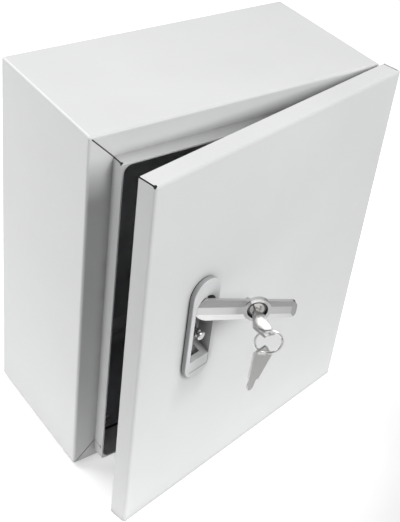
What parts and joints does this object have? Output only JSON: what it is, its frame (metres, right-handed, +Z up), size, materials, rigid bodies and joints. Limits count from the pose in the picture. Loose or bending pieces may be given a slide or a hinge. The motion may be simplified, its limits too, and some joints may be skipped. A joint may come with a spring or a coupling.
{
  "type": "outdoor electrical enclosure",
  "caption": "Wall-mounted folded-steel cabinet with a sealed side-hinged door and a lift-and-swing lever handle with a key lock, keys on a ring; it houses electrical gear outdoors.",
  "frame": {"origin": "centre of the four wall-fixing holes, on the back face of the cabinet", "axes": "+X right, +Y back into the wall, +Z up, seen from the front"},
  "size_m": [0.2536, 0.2311, 0.304],
  "materials": {
    "grey_coat": "fine satin powder coat",
    "zinc_plate": "zinc plated",
    "bright_steel": "ground",
    "grey_casting": "satin coated casting",
    "satin_cast": "satin cast metal",
    "lock_nickel": "nickel plated",
    "lock_dark": "dark steel",
    "key_steel": "nickel plated",
    "black_rubber": "foamed"
  },
  "bodies": {
    "cabinet": {"cabinet_shell": "grey_coat", "mounting_plate": "zinc_plate", "mounting_studs": "zinc_plate", "mounting_spacers": "zinc_plate", "mounting_washers": "zinc_plate", "mounting_nuts": "zinc_plate", "gland_seal": "black_rubber", "gland_plate": "zinc_plate", "gland_studs": "zinc_plate", "gland_nuts": "zinc_plate", "hinge_screws": "zinc_plate", "hinge_block_upper": "zinc_plate", "hinge_block_lower": "zinc_plate", "hinge_pin_upper": "bright_steel", "hinge_pin_lower": "bright_steel", "cabinet_earth_stud": "zinc_plate", "cabinet_earth_washer": "zinc_plate", "cabinet_earth_nut": "zinc_plate"},
    "door": {"door_panel": "grey_coat", "door_gasket": "black_rubber", "hinge_leaf_upper": "zinc_plate", "hinge_leaf_lower": "zinc_plate", "handle_escutcheon": "grey_casting", "escutcheon_seal": "black_rubber", "escutcheon_clamps": "zinc_plate", "clamp_screws": "zinc_plate", "pocket_catch": "satin_cast", "door_earth_stud": "zinc_plate", "door_earth_washer": "zinc_plate", "door_earth_nut": "zinc_plate"},
    "handle_hub": {"handle_spindle": "satin_cast", "lever_pivot_pin": "bright_steel", "latch_cam": "zinc_plate", "cam_washer": "zinc_plate", "cam_screw": "zinc_plate"},
    "lever": {"handle_lever": "satin_cast", "lock_barrel": "lock_dark"},
    "lock_plug": {"lock_plug": "lock_nickel"},
    "key": {"key": "key_steel"},
    "key_ring": {"key_ring": "key_steel"},
    "spare_key": {"spare_key": "key_steel"}
  },
  "joints": [
    {"name": "door_hinge", "type": "hinge", "parent": "cabinet", "child": "door", "pos_m": [0.12, -0.1295, 0], "axis": [0, 0, 1], "range_deg": [-11.5, 96]},
    {"name": "handle_swing", "type": "hinge", "parent": "door", "child": "handle_hub", "pos_m": [-0.06409, -0.17767, 0.0334], "axis": [0.1994, -0.9799, 0], "range_deg": [-90, 0]},
    {"name": "lever_lift", "type": "hinge", "parent": "handle_hub", "child": "lever", "pos_m": [-0.06409, -0.17767, 0.0334], "axis": [0, 0, -1], "range_deg": [-38, 0]},
    {"name": "plug_turn", "type": "hinge", "parent": "lever", "child": "lock_plug", "pos_m": [-0.03009, -0.19462, 0.0334], "axis": [-0.4462, -0.8949, 0], "range_deg": [-63, 27]},
    {"name": "key_withdraw", "type": "slide", "parent": "lock_plug", "child": "key", "axis": [-0.4462, -0.8949, 0], "range_m": [0, 0.008]},
    {"name": "key_ring_swing", "type": "hinge", "parent": "key", "child": "key_ring", "pos_m": [-0.04429, -0.22151, 0.03376], "axis": [-0.5779, -0.8123, 0.0788], "range_deg": [0, 15]},
    {"name": "spare_key_swing", "type": "hinge", "parent": "key_ring", "child": "spare_key", "pos_m": [-0.04304, -0.22407, 0.01657], "axis": [0.7768, -0.5771, -0.2521], "range_deg": [-15, 15]}
  ]
}
